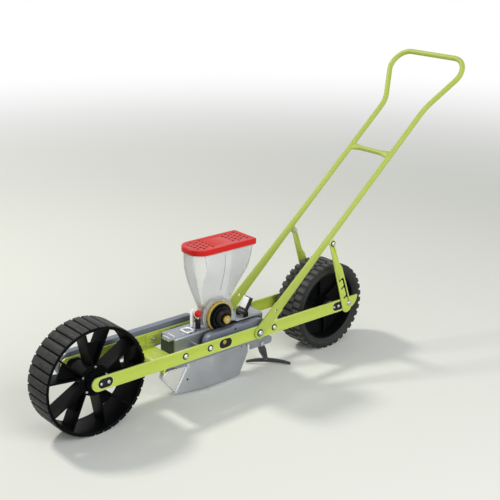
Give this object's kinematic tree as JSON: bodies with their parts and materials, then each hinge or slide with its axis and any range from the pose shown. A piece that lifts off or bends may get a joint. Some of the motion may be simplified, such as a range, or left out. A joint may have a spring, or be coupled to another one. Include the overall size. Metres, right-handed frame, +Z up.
{
  "type": "walk-behind seed planter",
  "caption": "Hand-pushed row seeder: cleated drive wheel, chain-driven seed roller under a clear hopper, furrow shoe, coverer, lugged press wheel and height-set loop handle.",
  "frame": {"origin": "middle of the bottom of the box, on the ground between the wheels", "axes": "+X forward, +Y to the left, +Z up"},
  "size_m": [1.4532, 0.2906, 0.845],
  "materials": {
    "lime_paint": "gloss",
    "zinc_fastener": "satin",
    "shaft_steel": "satin",
    "yellow_zinc": "satin",
    "sprocket_steel": "satin",
    "black_plastic": "satin",
    "wheel_plastic": "satin",
    "tyre_rubber": "matte",
    "slate_paint": "satin",
    "grey_steel": "satin",
    "dark_steel": "satin",
    "clear_plastic": "gloss",
    "tan_plastic": "satin",
    "brush_fibre": "matte",
    "brass": "satin",
    "red_plastic": "gloss",
    "white_plastic": "satin"
  },
  "bodies": {
    "frame": {"side_bar_left": "lime_paint", "side_bar_right": "lime_paint", "front_cross_bracket": "lime_paint", "frame_bolts": "zinc_fastener", "axle_blocks": "black_plastic", "jackshaft_blocks": "black_plastic", "front_chain_case": "slate_paint", "front_chain_backplate": "black_plastic", "case_spacers": "zinc_fastener", "front_chain": "sprocket_steel", "rear_chain_case": "slate_paint", "rear_chain_backplate": "black_plastic", "metering_bush": "black_plastic", "rear_chain": "sprocket_steel", "opener_housing": "grey_steel", "opener_shoe": "grey_steel", "shoe_guard_strap": "grey_steel", "coverer_arm": "grey_steel", "coverer_pin": "zinc_fastener", "seed_box": "clear_plastic", "roller_arch": "clear_plastic", "seed_brush": "brush_fibre", "hopper": "clear_plastic", "plunger_sleeve": "black_plastic", "plunger_strip": "white_plastic", "latch_bracket": "black_plastic", "strut_pins": "zinc_fastener", "handle_pivot_bolts": "zinc_fastener"},
    "front_wheel": {"front_wheel": "wheel_plastic", "front_hub_screws": "zinc_fastener", "front_axle": "shaft_steel", "front_axle_fittings": "zinc_fastener", "wheel_sprocket": "sprocket_steel"},
    "rear_wheel": {"rear_tyre": "tyre_rubber", "rear_rim": "wheel_plastic", "rear_axle": "shaft_steel", "rear_axle_fittings": "zinc_fastener"},
    "jackshaft": {"jackshaft": "yellow_zinc", "jackshaft_sprockets": "sprocket_steel"},
    "metering_shaft": {"metering_shaft": "shaft_steel", "metering_sprocket": "sprocket_steel", "metering_gear": "black_plastic"},
    "seed_roller": {"seed_roller": "tan_plastic", "roller_shaft": "shaft_steel", "roller_gear": "black_plastic", "roller_nut": "brass"},
    "handle": {"handle_tube": "lime_paint", "handle_crossbar": "lime_paint", "strut_lugs": "lime_paint"},
    "struts": {"strut_left": "lime_paint", "strut_right": "lime_paint", "strut_bolts": "zinc_fastener"},
    "lid": {"hopper_lid": "red_plastic"},
    "latch": {"latch_lever": "black_plastic", "latch_face": "white_plastic"},
    "plunger": {"plunger_stem": "zinc_fastener", "plunger_knob": "red_plastic"},
    "coverer": {"coverer_stem": "dark_steel", "coverer_bow": "dark_steel"}
  },
  "joints": [
    {"name": "front_wheel", "type": "hinge", "parent": "frame", "child": "front_wheel", "pos_m": [0.57658, 0, 0.15], "axis": [0, 1, 0], "continuous": true},
    {"name": "rear_wheel", "type": "hinge", "parent": "frame", "child": "rear_wheel", "pos_m": [-0.24926, 0, 0.134], "axis": [0, 1, 0], "continuous": true},
    {"name": "jackshaft", "type": "hinge", "parent": "frame", "child": "jackshaft", "pos_m": [0.18638, 0, 0.15644], "axis": [0, 1, 0], "continuous": true},
    {"name": "metering_shaft", "type": "hinge", "parent": "frame", "child": "metering_shaft", "pos_m": [0.13047, 0, 0.15536], "axis": [0, 1, 0], "continuous": true},
    {"name": "seed_roller", "type": "hinge", "parent": "frame", "child": "seed_roller", "pos_m": [0.1643, 0, 0.21203], "axis": [0, 1, 0], "continuous": true},
    {"name": "handle", "type": "hinge", "parent": "frame", "child": "handle", "pos_m": [0.06189, 0, 0.15003], "axis": [0, 1, 0], "range_deg": [-11.23, 0]},
    {"name": "struts", "type": "hinge", "parent": "handle", "child": "struts", "pos_m": [-0.21657, 0, 0.35254], "axis": [0, 1, 0], "range_deg": [0, 6.19]},
    {"name": "lid", "type": "slide", "parent": "frame", "child": "lid", "axis": [-0.0194, 0, 0.9998], "range_m": [0, 0.06]},
    {"name": "latch", "type": "hinge", "parent": "frame", "child": "latch", "pos_m": [0.07062, 0, 0.19471], "axis": [0, 1, 0], "range_deg": [-55, 0]},
    {"name": "plunger", "type": "slide", "parent": "frame", "child": "plunger", "axis": [-0.0194, 0, 0.9998], "range_m": [0, 0.01], "stiffness_N_per_m": 400, "springref_m": -0.004},
    {"name": "coverer", "type": "hinge", "parent": "frame", "child": "coverer", "pos_m": [0.00091, 0, 0.07583], "axis": [0, 1, 0], "range_deg": [0, 35]}
  ],
  "couplings": [
    {"joint": "jackshaft", "follows": "front_wheel", "ratio": 1.5},
    {"joint": "metering_shaft", "follows": "front_wheel", "ratio": 1.7143},
    {"joint": "seed_roller", "follows": "front_wheel", "ratio": -1.8776},
    {"joint": "struts", "follows": "handle", "ratio": -0.55}
  ]
}
